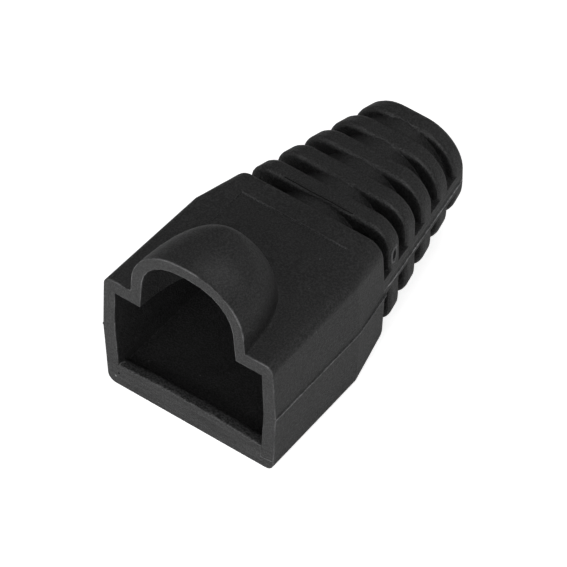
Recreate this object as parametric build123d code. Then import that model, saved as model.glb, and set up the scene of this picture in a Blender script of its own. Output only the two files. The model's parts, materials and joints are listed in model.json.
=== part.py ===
from build123d import *
from math import atan, cos, radians, sin, sqrt, tan
import os

os.makedirs("parts", exist_ok=True)

# A slip-over strain relief boot for a modular plug, moulded in one piece.
# Lengths are in millimetres and angles in degrees.
# While it is built, X runs across, Y from the mouth (0) towards the cable, and Z up from the parting plane.

# The plug that the mouth takes
plug_width = 11.68
plug_height = 6.60
plug_side_clearance = 0.14
plug_height_clearance = 0.45
plug_cover = 10.60

# The cable that the neck takes
cable_diameter = 5.50
cable_clearance = 0.10
bore_lift = 0.10
funnel_flare = 0.45
funnel_length = 1.50

# Walls of the housing
side_wall = 0.95
top_wall = 1.06
bottom_wall = 1.57

# Outside of the housing
top_height = 4.61
top_fall = 0.07
straight_length = 9.16
side_taper = 0.20
taper_length = 3.74
rear_half_width = 6.09
top_draft = 2.6
bottom_draft = 3.0
mouth_top_radius = 0.63
mouth_bottom_radius = 0.65
rear_top_radius = 1.29
rear_bottom_radius = 1.74

# Drafts of the space for the plug
cavity_top_draft = 1.7
cavity_floor_draft = 3.6

# Raised lip on the floor of the mouth
lip_height = 0.26
lip_crown = 0.26
lip_length = 0.75

# Hump over the plug's latch: an arch at the mouth that closes in to the rear
hump_half_width = 4.57
hump_height = 4.81
hump_wall = 0.82
hump_draft = 4.5
hump_corner_radius = 3.86
hump_crown_radius = 7.76
hump_depth = 6.49
hump_crown_depth = 4.38
hump_rear_power = 1.62
hump_side_hold = 0.75
hump_rear_hold = 0.67
hump_narrowing = 0.15
hump_fall = 1.1
hump_foot_round = 0.15

# Sunk panel on the top of the housing
panel_half_width = 4.21
panel_start = 5.80
panel_end = 11.20
panel_depth = 0.08

# Ribbed neck: rings parted by grooves, then a plain collar
ring_count = 4
ring_width = 1.34
groove_width = 0.96
collar_length = 1.42
collar_round = 0.30
front_round = 0.34
rear_round = 0.22

# Tube inside the neck, at the floor of the grooves
tube_front_radius = 4.02
tube_end_radius = 3.52
tube_lift = 0.30

# Webs that join the rings at both sides
web_above = 1.02
web_below = 0.46

# Ridge that the mould leaves along the parting plane
flash_width = 0.06
flash_thickness = 0.12

# Ends of the neck: half width, height above and depth below the parting plane, and corner radii
neck_front = (5.69, 4.42, 4.36, 1.60, 1.80)
neck_end = (3.93, 3.85, 3.38, 3.06, 2.98)

# Sizes that follow
cavity_half_width = plug_width / 2 + plug_side_clearance
half_width = cavity_half_width + side_wall
cavity_top = top_height - top_wall
cavity_floor = cavity_top - plug_height - plug_height_clearance
bottom_depth = bottom_wall - cavity_floor
housing_length = straight_length + taper_length
pitch = ring_width + groove_width
neck_start = housing_length + groove_width
collar_start = neck_start + ring_count * pitch
total_length = collar_start + collar_length
neck_root = housing_length - 2 * rear_round
bore_radius = cable_diameter / 2 + cable_clearance
crown_height = top_height + hump_height
top_slope = atan(top_fall / housing_length)

# How far the cutting shapes run past the faces that they cut
reach = 0.30
far = 2 * total_length
touch = 0.001

# Narrow strips that make up the rounded edges that show, and those that hardly show
fine_strips = 3
coarse_strips = 2

# Level slices of the hump's smooth outside and of its hollow, and how near the crown they come
hump_slices = 8
hollow_slices = 10
last_turn = 88.0


def across(y):
    """The plane across the boot at a distance y from the mouth."""
    return Plane.XZ.offset(-y)


def between(start, end, low=-far, high=far):
    """A wide slab from y = start to y = end and from z = low to z = high."""
    return Location((0, (start + end) / 2, (low + high) / 2)) * Box(far, end - start, high - low)


def edge_turns(strips):
    """Turns from the flat face to the side of an edge that is rounded in narrow strips."""
    return [radians(90 * step / strips) for step in range(strips + 1)]


def corners_at(section, height):
    """The corners of a flat section that lie at one height."""
    return [corner for corner in section.vertices() if abs(corner.Y - height) < touch]


def rounded(outline, top, bottom, top_radius, bottom_radius):
    """A face inside an outline, with its upper and lower corners rounded."""
    section = make_face(outline)
    section = fillet(corners_at(section, top), top_radius)
    return fillet(corners_at(section, -bottom), bottom_radius)


def housing_section(y, widest, top_radius, bottom_radius, inset=0.0):
    """A drafted box section of the housing, widest at the parting plane."""
    top = top_height - max(y, 0) * tan(top_slope)
    at_top = widest - top * tan(radians(top_draft)) - inset
    at_bottom = widest - bottom_depth * tan(radians(bottom_draft)) - inset
    right = [(at_top, top - inset), (widest - inset, 0), (at_bottom, inset - bottom_depth)]
    left = [(-x, z) for x, z in reversed(right)]
    outline = Polyline(*right, *left, close=True)
    section = rounded(outline, top - inset, bottom_depth - inset, top_radius - inset, bottom_radius - inset)
    return across(y) * section


def housing():
    """The outside of the housing: nearly straight, then tapered to its rear face with a rounded edge."""
    bend = half_width - side_taper
    stations = [
        housing_section(-reach, half_width, mouth_top_radius, mouth_bottom_radius),
        housing_section(straight_length, bend, mouth_top_radius, mouth_bottom_radius),
    ]
    for turn in edge_turns(coarse_strips):
        y = housing_length - rear_round * (1 - sin(turn))
        inset = rear_round * (1 - cos(turn))
        stations.append(housing_section(y, rear_half_width, rear_top_radius, rear_bottom_radius, inset))
    return loft(stations, ruled=True)


def arch_half_width(z, wall):
    """Half the width of the hump's arch at height z, inside a wall of the given thickness."""
    slope = tan(radians(hump_draft))
    side = hump_half_width - wall
    corner = hump_corner_radius - wall
    crown = hump_crown_radius - wall
    crown_centre = crown_height - hump_crown_radius
    # The corner arc touches both the drafted side and the crown arc
    k = side - corner / cos(radians(hump_draft)) + top_height * slope
    b = k * slope + crown_centre
    a = 1 + slope**2
    corner_z = (b + sqrt(b**2 - a * (k**2 + crown_centre**2 - (crown - corner) ** 2))) / a
    corner_x = k - slope * corner_z
    side_ends = corner_z + corner * sin(radians(hump_draft))
    corner_ends = crown_centre + crown * (corner_z - crown_centre) / (crown - corner)
    if z <= side_ends:
        return side - (z - top_height) * slope
    if z <= corner_ends:
        return corner_x + sqrt(corner**2 - (z - corner_z) ** 2)
    return sqrt(max(crown**2 - (z - crown_centre) ** 2, 0))


def hump_slice(z, wall=0.0, foot=0.0):
    """A level slice of the hump, open to the mouth and rounded behind, spread by foot at its base."""
    rise = max(z - top_height, 0) / hump_height
    front = arch_half_width(z, wall)
    side = front - hump_narrowing * (1 - rise) + foot
    power = hump_rear_power
    depth = hump_crown_depth + (hump_depth - hump_crown_depth) * (1 - rise**power) ** (1 / power)
    depth += foot - wall
    side_hold = (side, hump_side_hold * depth)
    rear_hold = (hump_rear_hold * side, depth)
    right = Bezier((front, -reach), side_hold, rear_hold, (0, depth))
    left = mirror(right, about=Plane.YZ)
    mouth = Line((-front, -reach), (front, -reach))
    fall = top_slope + (radians(hump_fall) - top_slope) * rise
    level = Plane((0, 0, z), x_dir=(1, 0, 0), z_dir=(0, sin(fall), cos(fall)))
    return level * make_face([mouth, right, left])


def closing_slices(start, count, wall=0.0):
    """Level slices from z = start up to the crown, closer together towards the crown."""
    height = crown_height - wall - start
    turns = [radians(last_turn) * step / (count - 1) for step in range(count)]
    return [hump_slice(start + height * sin(turn), wall) for turn in turns]


def hump():
    """The hump's outside, with a small rounded foot where it meets the top of the housing."""
    foot = [hump_slice(top_height - top_wall / 2, foot=hump_foot_round)]
    for turn in edge_turns(coarse_strips):
        rise = hump_foot_round * (1 - cos(turn))
        foot.append(hump_slice(top_height + rise, foot=hump_foot_round * (1 - sin(turn))))
    return loft(foot, ruled=True) + loft(closing_slices(top_height + hump_foot_round, hump_slices))


def hollow():
    """The space under the hump, open to the mouth and to the space for the plug."""
    return loft(closing_slices(cavity_top - reach, hollow_slices, hump_wall), ruled=True)


def panel():
    """The wedge that sinks the panel, deepest at its rear edge."""
    rear_top = top_height - panel_end * tan(top_slope)
    front_top = top_height - panel_start * tan(top_slope)
    side = Polyline(
        (panel_start, front_top),
        (panel_end, rear_top - panel_depth),
        (panel_end, top_height + reach),
        (panel_start, top_height + reach),
        close=True,
    )
    return extrude(Plane.YZ * make_face(side), panel_half_width, both=True)


def neck_section(y, inset=0.0):
    """A rounded section of the neck at a distance y from the mouth, drawn in by inset."""
    share = (y - neck_start) / (total_length - neck_start)
    sizes = [front + (end - front) * share - inset for front, end in zip(neck_front, neck_end)]
    half, above, below, top_radius, bottom_radius = sizes
    outline = Polyline((half, above), (half, -below), (-half, -below), (-half, above), close=True)
    return across(y) * rounded(outline, above, below, top_radius, bottom_radius)


def soft_ended(start, end, end_round):
    """A length of the neck with the edges of its front and rear faces rounded."""
    stations = []
    for turn in edge_turns(fine_strips):
        stations.append(neck_section(start + front_round * (1 - cos(turn)), front_round * (1 - sin(turn))))
    for turn in edge_turns(coarse_strips):
        stations.append(neck_section(end - end_round * (1 - sin(turn)), end_round * (1 - cos(turn))))
    return loft(stations, ruled=True)


def tube():
    """The tube that shows at the floor of the grooves."""
    length = collar_start + ring_width / 2 - neck_root
    cone = Cone(tube_front_radius, tube_end_radius, length, align=(Align.CENTER, Align.CENTER, Align.MIN))
    return Location((0, neck_root, tube_lift), (-90, 0, 0)) * cone


def webs():
    """The flat webs that join the housing, the rings and the collar at both sides."""
    end = total_length - 2 * collar_round
    whole = loft([neck_section(neck_root), neck_section(end)], ruled=True)
    return whole & between(neck_root, end, -web_below, web_above)


def neck():
    """Rings and collar on the tube, joined at both sides by the webs."""
    body = tube() + webs()
    for ring in range(ring_count):
        start = neck_start + ring * pitch
        body += soft_ended(start, start + ring_width, rear_round)
    return body + soft_ended(collar_start, total_length, collar_round)


def flash():
    """The thin ridge along the parting plane, as a plate a little wider than the boot."""
    out = flash_width
    end = total_length - 2 * collar_round
    end_share = (end - neck_start) / (total_length - neck_start)
    right = [
        (half_width + out, -reach),
        (half_width - side_taper + out, straight_length),
        (rear_half_width + out, housing_length),
        (neck_front[0] + out, housing_length),
        (neck_front[0] + out, neck_start),
        (neck_front[0] + (neck_end[0] - neck_front[0]) * end_share + out, end),
    ]
    left = [(-x, y) for x, y in reversed(right)]
    plan = make_face(Polyline(*right, *left, close=True))
    return extrude(plan, flash_thickness / 2, both=True)


def cavity():
    """The space for the plug, without the lip on its floor."""
    at_top = cavity_half_width - cavity_top * tan(radians(cavity_top_draft))
    at_floor = cavity_half_width + cavity_floor * tan(radians(cavity_floor_draft))
    right = [(at_top, cavity_top), (cavity_half_width, 0), (at_floor, cavity_floor)]
    left = [(-x, z) for x, z in reversed(right)]
    section = across(-reach) * make_face(Polyline(*right, *left, close=True))
    return extrude(section, plug_cover + reach, dir=(0, 1, 0))


def lip():
    """The raised lip just inside the mouth, a little higher in its middle."""
    side = cavity_half_width
    low = cavity_floor - bottom_wall / 2
    top = cavity_floor + lip_height
    crown = ThreePointArc((side, top), (0, top + lip_crown), (-side, top))
    rest = Polyline((-side, top), (-side, low), (side, low), (side, top))
    return extrude(across(-reach) * make_face([crown, rest]), lip_length + reach, dir=(0, 1, 0))


def bore():
    """The cable's way through the neck, with a funnel that leads into it from the space for the plug."""
    standing = (Align.CENTER, Align.CENTER, Align.MIN)
    hole = Cylinder(bore_radius, total_length - plug_cover + 2 * reach, align=standing)
    wide_end = bore_radius + funnel_flare * (1 + reach / funnel_length)
    funnel = Cone(wide_end, bore_radius, funnel_length + reach, align=standing)
    return Location((0, plug_cover - reach, bore_lift), (-90, 0, 0)) * (hole + funnel)


def boot():
    """The whole moulding, moved so that the origin is at the middle of its underside."""
    body = housing() - panel() + hump() + neck() + flash()
    body -= cavity() - lip()
    body -= hollow()
    body -= bore()
    body -= between(-far, 0)
    return Location((0, -total_length / 2, bottom_depth)) * body


export_step(boot(), "parts/boot.step")
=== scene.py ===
import json
import math

import bpy
from mathutils import Matrix, Vector

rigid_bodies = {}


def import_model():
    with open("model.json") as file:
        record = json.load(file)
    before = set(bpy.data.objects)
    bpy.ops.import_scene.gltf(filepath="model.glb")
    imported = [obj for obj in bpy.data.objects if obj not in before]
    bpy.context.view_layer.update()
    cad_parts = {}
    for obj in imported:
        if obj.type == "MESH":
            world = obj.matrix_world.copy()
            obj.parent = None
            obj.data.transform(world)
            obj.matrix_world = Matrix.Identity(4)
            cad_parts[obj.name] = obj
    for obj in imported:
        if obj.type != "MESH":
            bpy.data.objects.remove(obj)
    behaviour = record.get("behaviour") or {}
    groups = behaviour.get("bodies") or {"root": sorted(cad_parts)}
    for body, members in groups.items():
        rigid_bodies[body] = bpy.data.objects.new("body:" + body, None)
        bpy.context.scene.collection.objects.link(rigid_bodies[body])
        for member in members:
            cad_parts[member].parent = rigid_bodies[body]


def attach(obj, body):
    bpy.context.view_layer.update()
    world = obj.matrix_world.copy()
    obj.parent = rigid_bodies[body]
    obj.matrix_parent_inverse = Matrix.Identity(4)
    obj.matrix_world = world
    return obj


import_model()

MM = 0.001
WHITE = (1.0, 1.0, 1.0, 1.0)

# The camera's place, worked out from the photograph's perspective
CAMERA_AZIMUTH = math.radians(37.407)
CAMERA_ELEVATION = math.radians(47.036)
CAMERA_ROLL = math.radians(-0.422)
CAMERA_DISTANCE = 349.50 * MM
CAMERA_TARGET = Vector((2.350, -5.324, 8.857)) * MM
SENSOR_WIDTH = 36.0
FOCAL_LENGTH = 349.21
CLIP_START = 0.01
CLIP_END = 10.0

# The level of the light from all round, the floor, and the glow that only the camera sees on it
WORLD_LEVEL = 0.17
FLOOR_SIZE = 4.0
FLOOR_COLOUR = (0.92, 0.92, 0.92, 1.0)
FLOOR_LIFT = 0.68

# The lamps, with each one's azimuth from the front, elevation and power
LAMP_DISTANCE = 0.6
LAMP_SIZE = 0.35
LAMP_TARGET = Vector((0, 0, 6 * MM))
LAMPS = {
    "front": (0, 10, 5.0),
    "side": (45, 40, 0.97),
    "right": (90, 40, 0.17),
    "back_right": (150, 10, 0.15),
    "low_back": (180, 10, 0.20),
    "high_back": (180, 65, 0.30),
    "top": (0, 89, 0.20),
}

# Places along the part, from its middle
MOUTH = -12.24 * MM
HUMP_END = -5.0 * MM
CAVITY_END = -1.64 * MM
PANEL_END = -1.04 * MM
NECK_START = 0.66 * MM

# How far the lip and its paler front reach into the mouth
LIP_DEPTH = 0.9 * MM
LIP_PALE_DEPTH = 0.85 * MM

# Heights above its underside
LIP_LOW = 1.2 * MM
BOTTOM_WALL_TOP = 1.9 * MM
LIP_HIGH = 2.4 * MM
LIP_PALE_HIGH = 2.5 * MM
PARTING = 5.07 * MM
SECOND_LINE = PARTING + 0.5 * MM
PANEL_LOW = 9.3 * MM
HUMP_FOOT_LOW = 9.2 * MM
HUMP_FOOT_HIGH = 11.2 * MM
ARCH_LOW = 9.6 * MM

# Distances to either side of its middle
BORE_OUTSIDE = 3.4 * MM
PANEL_HALF_WIDTH = 4.21 * MM
LIP_HALF_WIDTH = 5.85 * MM
LIP_PALE_HALF_WIDTH = 5.9 * MM
LIP_OUTSIDE = 6.0 * MM
CAVITY_OUTSIDE = 6.3 * MM

# How finely the noise and the specks vary, in features to the metre
GRAIN = 9000.0
EDGE_GRAIN = 7000.0
SHEEN_GRAIN = 6000.0
# The dark vinyl of painted shade in creases and hollows varies this finely, in colour and in sheen
PAINTED_SHADE_GRAIN = 8000.0
PAINTED_SHADE_SHEEN_GRAIN = 5000.0
DOTS = 3200.0
PATCHES = 700.0
LIP_WAVES = 650.0
LINE_WAVES = 450.0
SPECK_CELLS = 900.0
STREAK_STRETCH = (260.0, 1.0, 5500.0)

# The share of the specks' cells that stay empty, and the level that noise varies about
SPECKLESS_SHARE = 0.7
NOISE_MIDDLE = 0.5

# How far the shading rounds an edge, what the hump's foot adds, what the lip adds at least, and how far
# from an edge its wear and painted highlights reach
EDGE_RADIUS = 0.06 * MM
FOOT_EXTRA = 0.40 * MM
LIP_EXTRA = 0.08 * MM
WEAR_AND_HIGHLIGHT_REACH = 0.13 * MM

# How deep the grain is
GRAIN_DEPTH = 0.045 * MM

# The vinyl's base colour, from 0 for black to 1 for white, and what each mark adds to it
DARKEST = 0.001
GROUND_LEVEL = 0.0005
GRAIN_LEVEL = 0.021
# What the noise adds to the dark vinyl of painted shade
PAINTED_SHADE_LEVEL = 0.012
BLOTCH_LEVEL = 0.008
PARTING_LEVEL = 0.17
SECOND_LINE_SHARE = 0.3
# The painted highlight on the panel's rear edge
PANEL_EDGE_HIGHLIGHT_LEVEL = 0.019
# The painted highlight on the mouth's rim
RIM_HIGHLIGHT_LEVEL = 0.055
# Rubbed wear and painted highlight along the edges
EDGE_WEAR_AND_HIGHLIGHT_LEVEL = 0.03
LIP_LEVEL = 0.019
# The painted highlight on the hump's crown
CROWN_HIGHLIGHT_LEVEL = 0.016
STREAK_LEVEL = 0.05
SPECK_LEVEL = 0.08
SPOT_LEVEL = 0.14
WORN_LIFT = 0.025
GATE_LIFT = 0.08
BLUE_SHARE = 1.02

# The painted highlight on the hump's crown and the bright spot low on the left of the mouth's face
CROWN = (1.7 * MM, MOUTH + 1.1 * MM, 14.2 * MM)
CROWN_CORE = 0.1 * MM
CROWN_REACH = 2.3 * MM
SPOT = (-6.043 * MM, MOUTH, 0.671 * MM)
SPOT_RADIUS = 0.09 * MM

# The band of flash on the first ring, in millimetres. Its profile runs round the band, each point given as
# the distance up the ring's rounded edge and the height off it.
FLASH_MIDDLE = Vector((0.0, 1.728, 9.382))
FLASH_UP = Vector((0.0, 0.707, 0.707))
FLASH_OUTWARD = Vector((0.0, -0.707, 0.707))
FLASH_START = -2.95
FLASH_END = 2.60
FLASH_STEPS = 40
FLASH_TAPER = 0.6
FLASH_DRIFT = 0.012
FLASH_WAVE = 2.3
FLASH_PROFILE = ((-0.14, -0.04), (-0.12, 0.08), (0.02, 0.10), (0.05, 0.075), (0.11, 0.015), (0.11, -0.04))
# The sides of the band's profile that carry painted shade instead of vinyl
FLASH_SHADED_SIDES = (0, 3)

# The gate's mark on the right side of the first ring, in millimetres
GATE_LOOP = [
    (5.60, 2.15, 7.92), (5.64, 1.88, 7.70), (5.65, 1.80, 7.30), (5.63, 1.80, 6.95), (5.62, 1.98, 6.68),
    (5.59, 2.24, 6.66), (5.56, 2.42, 6.90), (5.54, 2.50, 7.30), (5.55, 2.45, 7.72),
]
GATE_LOOP_RADII = [0.07, 0.08, 0.075, 0.085, 0.095, 0.07, 0.04, 0.05, 0.07]
GATE_TIP = [(5.53, 2.44, 7.80), (5.54, 2.46, 8.00)]
GATE_TIP_RADII = [0.10, 0.07]
# How far the painted shade inside the loop reaches towards it, and how far it stands off the ring
GATE_SHADE_SHARE = 0.55
GATE_SHADE_PROUD = Vector((0.03, 0, 0))

# The marks at the mouth, in millimetres
INSERT_LINE = [
    (5.66, -12.235, 1.80), (5.70, -12.235, 1.40), (5.69, -12.235, 0.82), (5.72, -12.235, 0.80),
    (6.00, -12.235, 0.83), (6.27, -12.235, 0.85), (6.62, -12.235, 0.92),
]
INSERT_RADIUS = 0.035
BURR_LINE = [
    (-5.80, -12.22, 1.60), (-5.76, -12.16, 1.84), (-5.72, -11.97, 1.88), (-5.62, -11.76, 1.88),
    (-5.50, -11.74, 1.86),
]
BURR_RADII = [0.03, 0.05, 0.05, 0.06, 0.03]
# The pit is a patch of painted shade: its middle, half width, half height and number of sides
PIT_MIDDLE = Vector((-5.773, MOUTH / MM - 0.008, 1.091))
PIT_HALF_WIDTH = 0.07
PIT_HALF_HEIGHT = 0.09
PIT_SIDES = 8


def add_camera():
    """A camera at the photograph's viewing angle."""
    forward = Vector((
        -math.sin(CAMERA_AZIMUTH) * math.cos(CAMERA_ELEVATION),
        math.cos(CAMERA_AZIMUTH) * math.cos(CAMERA_ELEVATION),
        -math.sin(CAMERA_ELEVATION),
    ))
    level = Vector((math.cos(CAMERA_AZIMUTH), math.sin(CAMERA_AZIMUTH), 0.0))
    upright = level.cross(forward)
    right = level * math.cos(CAMERA_ROLL) + upright * math.sin(CAMERA_ROLL)
    up = upright * math.cos(CAMERA_ROLL) - level * math.sin(CAMERA_ROLL)
    data = bpy.data.cameras.new("camera")
    data.sensor_width = SENSOR_WIDTH
    data.lens = FOCAL_LENGTH
    data.clip_start = CLIP_START
    data.clip_end = CLIP_END
    camera = bpy.data.objects.new("camera", data)
    place = CAMERA_TARGET - forward * CAMERA_DISTANCE
    axes = Matrix((right, up, -forward)).transposed().to_4x4()
    camera.matrix_world = Matrix.Translation(place) @ axes
    bpy.context.scene.collection.objects.link(camera)
    bpy.context.scene.camera = camera


def add_lamps():
    """Soft square lamps that face the object and don't show in the picture."""
    for name, (azimuth, elevation, power) in LAMPS.items():
        data = bpy.data.lights.new(name, "AREA")
        data.shape = "SQUARE"
        data.size = LAMP_SIZE
        data.energy = power
        lamp = bpy.data.objects.new(name, data)
        turn = math.radians(azimuth)
        rise = math.radians(elevation)
        towards = Vector((
            math.sin(turn) * math.cos(rise),
            -math.cos(turn) * math.cos(rise),
            math.sin(rise),
        ))
        lamp.location = towards * LAMP_DISTANCE
        lamp.rotation_euler = (LAMP_TARGET - lamp.location).to_track_quat("-Z", "Y").to_euler()
        lamp.visible_camera = False
        bpy.context.scene.collection.objects.link(lamp)


def add_world():
    """Even pale light from all round, seen as white by the camera."""
    world = bpy.data.worlds.new("world")
    world.use_nodes = True
    nodes = world.node_tree.nodes
    links = world.node_tree.links
    shade = nodes["Background"]
    shade.inputs["Color"].default_value = WHITE
    rays = nodes.new("ShaderNodeLightPath")
    level = nodes.new("ShaderNodeMapRange")
    level.inputs["To Min"].default_value = WORLD_LEVEL
    level.inputs["To Max"].default_value = 1.0
    links.new(rays.outputs["Is Camera Ray"], level.inputs["Value"])
    links.new(level.outputs["Result"], shade.inputs["Strength"])
    bpy.context.scene.world = world


def add_floor():
    """A plain white floor that keeps the part's shadow."""
    bpy.ops.mesh.primitive_plane_add(size=FLOOR_SIZE, location=(0, 0, 0))
    floor = bpy.context.object
    floor.name = "floor"
    material = bpy.data.materials.new("floor")
    material.use_nodes = True
    nodes = material.node_tree.nodes
    links = material.node_tree.links
    shader = nodes["Principled BSDF"]
    shader.inputs["Base Color"].default_value = FLOOR_COLOUR
    shader.inputs["Roughness"].default_value = 1.0
    shader.inputs["Emission Color"].default_value = WHITE
    rays = nodes.new("ShaderNodeLightPath")
    lift = nodes.new("ShaderNodeMath")
    lift.operation = "MULTIPLY"
    lift.inputs[1].default_value = FLOOR_LIFT
    links.new(rays.outputs["Is Camera Ray"], lift.inputs[0])
    links.new(lift.outputs["Value"], shader.inputs["Emission Strength"])
    floor.data.materials.append(material)


class Surface:
    """A new material, with its nodes and the place on the part that they read, in metres."""

    def __init__(self, name):
        self.material = bpy.data.materials.new(name)
        self.material.use_nodes = True
        self.tree = self.material.node_tree
        self.shader = self.tree.nodes["Principled BSDF"]
        self.place = self.node("ShaderNodeTexCoord").outputs["Object"]

    def node(self, kind):
        """A new node of this kind."""
        return self.tree.nodes.new(kind)

    def feed(self, socket, value):
        """Gives a socket its value, from another socket or a plain number."""
        if isinstance(value, bpy.types.NodeSocket):
            self.tree.links.new(value, socket)
        else:
            socket.default_value = value

    def axes(self, vector):
        """The three parts of a vector."""
        node = self.node("ShaderNodeSeparateXYZ")
        self.feed(node.inputs["Vector"], vector)
        return [node.outputs[axis] for axis in "XYZ"]

    def calc(self, operation, *values):
        """One step of arithmetic."""
        node = self.node("ShaderNodeMath")
        node.operation = operation
        for socket, value in zip(node.inputs, values):
            self.feed(socket, value)
        return node.outputs["Value"]

    def product(self, first, *others):
        """All the values multiplied together."""
        for value in others:
            first = self.calc("MULTIPLY", first, value)
        return first

    def scaled(self, value, share, base):
        """The value's share, added to the base."""
        return self.calc("MULTIPLY_ADD", value, share, base)

    def above(self, value, limit):
        """1 where the value is past the limit, otherwise 0."""
        return self.calc("GREATER_THAN", value, limit)

    def below(self, value, limit):
        """1 where the value is short of the limit, otherwise 0."""
        return self.calc("LESS_THAN", value, limit)

    def between(self, value, low, high):
        """1 where the value is between the limits, otherwise 0."""
        return self.product(self.above(value, low), self.below(value, high))

    def fade(self, value, full, none):
        """1 where the value is at or past full, 0 where it is at or past none."""
        node = self.node("ShaderNodeMapRange")
        node.interpolation_type = "SMOOTHSTEP"
        self.feed(node.inputs["Value"], value)
        node.inputs["From Min"].default_value = none
        node.inputs["From Max"].default_value = full
        return node.outputs["Result"]

    def line(self, value, middle, half_width):
        """A thin line, 1 where the value is at its middle and 0 away from it."""
        off = self.calc("ABSOLUTE", self.calc("SUBTRACT", value, middle))
        return self.fade(off, half_width * 0.6, half_width * 1.4)

    def noise(self, scale, detail=2.0, place=None):
        """Smooth noise, at the place on the part unless another is given."""
        node = self.node("ShaderNodeTexNoise")
        node.inputs["Scale"].default_value = scale
        node.inputs["Detail"].default_value = detail
        self.feed(node.inputs["Vector"], self.place if place is None else place)
        return node.outputs["Fac"]

    def distance(self, point):
        """How far the place on the part is from a point."""
        node = self.node("ShaderNodeVectorMath")
        node.operation = "DISTANCE"
        self.feed(node.inputs[0], self.place)
        node.inputs[1].default_value = point
        return node.outputs["Value"]

    def flat_direction(self):
        """The way that the flat face looks."""
        return self.node("ShaderNodeNewGeometry").outputs["True Normal"]

    def round_direction(self, radius, samples):
        """The way that the surface looks once its edges are rounded."""
        node = self.node("ShaderNodeBevel")
        node.samples = samples
        self.feed(node.inputs["Radius"], radius)
        return node.outputs["Normal"]

    def paint(self, level, blue_share=1.0):
        """A grey base colour of this level, with a share of its own for the blue."""
        colour = self.node("ShaderNodeCombineColor")
        self.feed(colour.inputs["Red"], level)
        self.feed(colour.inputs["Green"], level)
        self.feed(colour.inputs["Blue"], self.product(level, blue_share))
        self.feed(self.shader.inputs["Base Color"], colour.outputs["Color"])


class BootSurface(Surface):
    """A surface with marks, which also needs the place along, above and beside the boot's middle."""

    def __init__(self, name):
        super().__init__(name)
        x, self.y, self.z = self.axes(self.place)
        self.across = self.calc("ABSOLUTE", x)


def parting_line(surface):
    """The pale, uneven line along the mould's parting plane, outside the boot only."""
    off_face = surface.above(surface.y, MOUTH + 0.02 * MM)
    past_cavity = surface.above(surface.y, CAVITY_END)
    off_cavity = surface.calc("MAXIMUM", surface.above(surface.across, CAVITY_OUTSIDE), past_cavity)
    outside = surface.product(off_cavity, surface.above(surface.across, BORE_OUTSIDE), off_face)
    on_neck = surface.above(surface.y, NECK_START)
    broad = surface.scaled(surface.noise(LINE_WAVES), share=2.0, base=-0.1)
    dots = surface.fade(surface.noise(DOTS), full=0.62, none=0.40)
    dotted = surface.scaled(dots, share=0.8, base=0.35)
    uneven = surface.product(broad, dotted)
    stronger_on_neck = surface.scaled(on_neck, share=0.85, base=0.60)
    main = surface.line(surface.z, PARTING, half_width=0.06 * MM)
    main = surface.product(main, uneven, stronger_on_neck)
    second = surface.line(surface.z, SECOND_LINE, half_width=0.035 * MM)
    second = surface.product(second, on_neck, uneven, SECOND_LINE_SHARE)
    return surface.product(surface.calc("MAXIMUM", main, second), outside)


def specks(surface):
    """Sparse pale specks of dust, a few hundredths of a millimetre across."""
    cells = surface.node("ShaderNodeTexVoronoi")
    cells.inputs["Scale"].default_value = SPECK_CELLS
    surface.feed(cells.inputs["Vector"], surface.place)
    near = surface.fade(cells.outputs["Distance"], full=0.02, none=0.06)
    split = surface.node("ShaderNodeSeparateColor")
    surface.feed(split.inputs["Color"], cells.outputs["Color"])
    sparse = surface.above(split.outputs["Red"], SPECKLESS_SHARE)
    return surface.product(near, sparse)


def panel_edge_highlight(surface):
    """The pale rear edge of the sunk panel, a painted highlight where its step faces the light."""
    off = surface.calc("ABSOLUTE", surface.calc("SUBTRACT", surface.y, PANEL_END))
    edge = surface.fade(off, full=0.03 * MM, none=0.08 * MM)
    inside = surface.below(surface.across, PANEL_HALF_WIDTH)
    return surface.product(edge, inside, surface.above(surface.z, PANEL_LOW))


def rim_edge_highlight(surface, wide):
    """A painted highlight along the edges all round the mouth's face, but for the lip's."""
    towards_front = surface.product(surface.axes(wide)[1], -1.0)
    edge = surface.fade(towards_front, full=0.86, none=0.98)
    at_mouth = surface.fade(surface.y, full=MOUTH + 0.05 * MM, none=MOUTH + 0.14 * MM)
    beside_lip = surface.above(surface.across, LIP_OUTSIDE)
    off_lip = surface.calc("MAXIMUM", surface.above(surface.z, LIP_HIGH), beside_lip)
    patchy = surface.fade(surface.noise(PATCHES), full=0.62, none=0.34)
    stronger_on_arch = surface.scaled(surface.above(surface.z, ARCH_LOW), share=0.9, base=1.0)
    strength = surface.product(patchy, off_lip, stronger_on_arch)
    return surface.product(surface.product(edge, at_mouth), strength)


def edge_wear_and_highlight(surface, wide):
    """Fine pale specks along every edge, partly where the grain is rubbed and partly a painted highlight.
    """
    turn = surface.node("ShaderNodeVectorMath")
    turn.operation = "DOT_PRODUCT"
    surface.feed(turn.inputs[0], wide)
    surface.feed(turn.inputs[1], surface.flat_direction())
    edge = surface.fade(turn.outputs["Value"], full=0.90, none=0.99)
    speck = surface.fade(surface.noise(EDGE_GRAIN, detail=1.0), full=0.64, none=0.50)
    return surface.product(edge, speck)


def lip_paling(surface):
    """The paler, grainy front of the lip's top, inside the mouth."""
    upward = surface.above(surface.axes(surface.flat_direction())[2], 0.5)
    low = surface.below(surface.z, LIP_PALE_HIGH)
    within = surface.below(surface.across, LIP_PALE_HALF_WIDTH)
    front = surface.fade(surface.y, full=MOUTH, none=MOUTH + LIP_PALE_DEPTH)
    grain = surface.fade(surface.noise(GRAIN, detail=3.0), full=0.64, none=0.36)
    grainy = surface.scaled(grain, share=1.1, base=0.15)
    return surface.product(upward, low, within, front, grainy)


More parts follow.
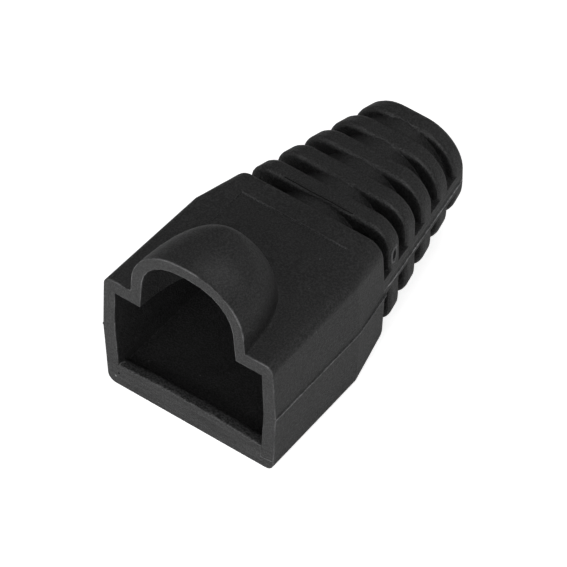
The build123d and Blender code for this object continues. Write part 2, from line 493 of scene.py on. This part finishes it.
def crown_highlight(surface):
    """A slightly paler patch on the hump's crown close to the mouth, a painted highlight."""
    near = surface.fade(surface.distance(CROWN), full=CROWN_CORE, none=CROWN_REACH)
    off_face = surface.fade(surface.y, full=MOUTH + 0.25 * MM, none=MOUTH + 0.05 * MM)
    return surface.product(near, off_face)


def streaks(surface):
    """Faint level streaks on the mouth's bottom wall, paler and darker than the rest."""
    stretch = surface.node("ShaderNodeMapping")
    stretch.inputs["Scale"].default_value = STREAK_STRETCH
    surface.feed(stretch.inputs["Vector"], surface.place)
    wave = surface.noise(1.0, place=stretch.outputs["Vector"])
    wave = surface.calc("SUBTRACT", wave, NOISE_MIDDLE)
    on_face = surface.below(surface.y, MOUTH + 0.03 * MM)
    return surface.product(wave, on_face, surface.below(surface.z, BOTTOM_WALL_TOP))


def edge_radius(surface):
    """How far the shading rounds an edge, more at the hump's foot and along the lip's uneven front."""
    foot = surface.product(
        surface.between(surface.z, HUMP_FOOT_LOW, HUMP_FOOT_HIGH),
        surface.between(surface.y, MOUTH + 0.3 * MM, HUMP_END),
    )
    lip = surface.product(
        surface.between(surface.z, LIP_LOW, LIP_HIGH),
        surface.below(surface.y, MOUTH + LIP_DEPTH),
        surface.below(surface.across, LIP_HALF_WIDTH),
    )
    wavy = surface.scaled(surface.noise(LIP_WAVES), share=1.0 * MM, base=-0.26 * MM)
    radius = surface.scaled(foot, FOOT_EXTRA, EDGE_RADIUS)
    return surface.scaled(lip, surface.calc("MAXIMUM", wavy, LIP_EXTRA), radius)


def moulding(name, lift):
    """Black flexible vinyl with a fine matte grain, pale mould lines, rubbed edges and a little dust, and
    painted highlights on its edges, the panel's rear edge and the hump's crown.
    """
    surface = BootSurface(name)
    wide = surface.round_direction(WEAR_AND_HIGHLIGHT_REACH, samples=6)
    grain = surface.noise(GRAIN)
    blotch = surface.calc("SUBTRACT", surface.noise(PATCHES, detail=3.0), NOISE_MIDDLE)
    spot = surface.fade(surface.distance(SPOT), full=SPOT_RADIUS * 0.6, none=SPOT_RADIUS)
    level = surface.scaled(surface.fade(grain, full=0.68, none=0.36), GRAIN_LEVEL, GROUND_LEVEL + lift)
    for mark, share in (
        (blotch, BLOTCH_LEVEL),
        (parting_line(surface), PARTING_LEVEL),
        # Painted highlights on the panel's rear edge, the mouth's rim and the hump's crown; the edges'
        # specks are part rubbed wear, part painted highlight
        (panel_edge_highlight(surface), PANEL_EDGE_HIGHLIGHT_LEVEL),
        (rim_edge_highlight(surface, wide), RIM_HIGHLIGHT_LEVEL),
        (edge_wear_and_highlight(surface, wide), EDGE_WEAR_AND_HIGHLIGHT_LEVEL),
        (lip_paling(surface), LIP_LEVEL),
        (crown_highlight(surface), CROWN_HIGHLIGHT_LEVEL),
        (streaks(surface), STREAK_LEVEL),
        (specks(surface), SPECK_LEVEL),
        (spot, SPOT_LEVEL),
    ):
        level = surface.scaled(mark, share, level)
    surface.paint(surface.calc("MAXIMUM", level, DARKEST), BLUE_SHARE)

    rough = surface.scaled(surface.noise(SHEEN_GRAIN), share=0.30, base=0.45)
    surface.feed(surface.shader.inputs["Roughness"], rough)

    bump = surface.node("ShaderNodeBump")
    bump.inputs["Strength"].default_value = 1.0
    bump.inputs["Distance"].default_value = GRAIN_DEPTH
    surface.feed(bump.inputs["Height"], grain)
    surface.feed(bump.inputs["Normal"], surface.round_direction(edge_radius(surface), samples=8))
    surface.feed(surface.shader.inputs["Normal"], bump.outputs["Normal"])
    return surface.material


def painted_shade_material(name):
    """Dull, nearly black vinyl that paints the shade of a crease or a small hollow."""
    surface = Surface(name)
    surface.shader.inputs["Specular IOR Level"].default_value = 0.1
    surface.paint(surface.scaled(surface.noise(PAINTED_SHADE_GRAIN), PAINTED_SHADE_LEVEL, DARKEST))
    rough = surface.scaled(surface.noise(PAINTED_SHADE_SHEEN_GRAIN), share=0.2, base=0.8)
    surface.feed(surface.shader.inputs["Roughness"], rough)
    return surface.material


def ride_along(name, mesh, material, smooth=True):
    """Puts a small piece of the moulding's own surface on the part."""
    for polygon in mesh.polygons:
        polygon.use_smooth = smooth
    mesh.materials.clear()
    mesh.materials.append(material)
    piece = bpy.data.objects.new(name, mesh)
    bpy.context.scene.collection.objects.link(piece)
    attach(piece, "root")


def new_mesh(name, vertices, faces):
    """A mesh from its points, in metres, and its faces."""
    mesh = bpy.data.meshes.new(name)
    mesh.from_pydata(vertices, [], faces)
    mesh.update()
    return mesh


def bead(name, points, radii, material, closed=False):
    """A thin smooth bead half sunk in the surface, through points given in millimetres."""
    curve = bpy.data.curves.new(name, "CURVE")
    curve.dimensions = "3D"
    curve.bevel_depth = 1.0 * MM
    curve.bevel_resolution = 3
    curve.resolution_u = 6
    curve.use_fill_caps = True
    spline = curve.splines.new("NURBS")
    spline.points.add(len(points) - 1)
    for point, place, radius in zip(spline.points, points, radii):
        point.co = (*(Vector(place) * MM), 1.0)
        point.radius = radius
    spline.order_u = 3
    spline.use_endpoint_u = not closed
    spline.use_cyclic_u = closed
    holder = bpy.data.objects.new(name, curve)
    mesh = bpy.data.meshes.new_from_object(holder)
    bpy.data.objects.remove(holder)
    ride_along(name, mesh, material)


def painted_hollow_shade(name, rim, middle, material):
    """A thin dark patch of painted shade that looks like a small hollow, from a rim and a middle given in
    millimetres.
    """
    vertices = [Vector(middle) * MM] + [Vector(place) * MM for place in rim]
    count = len(rim)
    faces = [(0, 1 + step, 1 + (step + 1) % count) for step in range(count)]
    ride_along(name, new_mesh(name, vertices, faces), material)


def ring_flash(material, painted_shade):
    """The thin raised band along the front edge of the first ring's top, with painted shade along its
    front and rear.
    """
    vertices = []
    for step in range(FLASH_STEPS + 1):
        x = FLASH_START + (FLASH_END - FLASH_START) * step / FLASH_STEPS
        height = min(1.0, (x - FLASH_START) / FLASH_TAPER, (FLASH_END - x) / FLASH_TAPER)
        drift = FLASH_DRIFT * math.sin(FLASH_WAVE * x)
        for up, out in FLASH_PROFILE:
            rise = out * height if out > 0 else out
            place = FLASH_MIDDLE + Vector((x, 0, 0)) + FLASH_UP * (up + drift) + FLASH_OUTWARD * rise
            vertices.append(place * MM)
    count = len(FLASH_PROFILE)
    last = FLASH_STEPS * count
    ends = [tuple(range(count)), tuple(reversed(range(last, last + count)))]
    sides = []
    for step in range(FLASH_STEPS):
        for corner in range(count):
            a = step * count + corner
            b = step * count + (corner + 1) % count
            sides.append((b, a, a + count, b + count))
    mesh = new_mesh("ring_flash", vertices, ends + sides)
    ride_along("ring_flash", mesh, material, smooth=False)
    mesh.materials.append(painted_shade)
    for index, polygon in enumerate(mesh.polygons[len(ends):]):
        if index % count in FLASH_SHADED_SIDES:
            polygon.material_index = 1


def gate_mark(material, painted_shade):
    """The mark of the mould's gate on the first ring's right side, a raised loop round a patch of painted
    shade.
    """
    bead("gate_mark", GATE_LOOP, GATE_LOOP_RADII, material, closed=True)
    bead("gate_tip", GATE_TIP, GATE_TIP_RADII, material)
    middle = sum((Vector(place) for place in GATE_LOOP), Vector()) / len(GATE_LOOP)
    rim = [middle.lerp(Vector(place), GATE_SHADE_SHARE) + GATE_SHADE_PROUD for place in GATE_LOOP]
    painted_hollow_shade("gate_hollow", rim, middle + GATE_SHADE_PROUD, painted_shade)


def mouth_marks(material, painted_shade):
    """The insert's line low on the right of the mouth's face, and the burr and the pit on its left, the
    pit drawn as a patch of painted shade.
    """
    bead("insert_mark", INSERT_LINE, [INSERT_RADIUS] * len(INSERT_LINE), material)
    bead("mouth_burr", BURR_LINE, BURR_RADII, material)
    turns = [math.radians(360 / PIT_SIDES * step) for step in range(PIT_SIDES)]
    rim = [
        PIT_MIDDLE + Vector((PIT_HALF_WIDTH * math.cos(turn), 0, PIT_HALF_HEIGHT * math.sin(turn)))
        for turn in turns
    ]
    painted_hollow_shade("mouth_pit", rim, PIT_MIDDLE, painted_shade)


def dress_boot(material):
    """Gives the CAD part its vinyl."""
    for piece in bpy.data.objects:
        if piece.type == "MESH" and piece.name.startswith("boot"):
            piece.data.materials.clear()
            piece.data.materials.append(material)


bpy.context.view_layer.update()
add_camera()
add_world()
add_floor()
add_lamps()
black_vinyl = moulding("black_vinyl", 0.0)
worn_vinyl = moulding("worn_vinyl", WORN_LIFT)
gate_vinyl = moulding("gate_vinyl", GATE_LIFT)
# Dull dark vinyl for painted shade in creases and small hollows
painted_shade_vinyl = painted_shade_material("painted_shade_vinyl")
dress_boot(black_vinyl)
ring_flash(black_vinyl, painted_shade_vinyl)
gate_mark(gate_vinyl, painted_shade_vinyl)
mouth_marks(worn_vinyl, painted_shade_vinyl)

bpy.context.scene.view_settings.view_transform = "Standard"
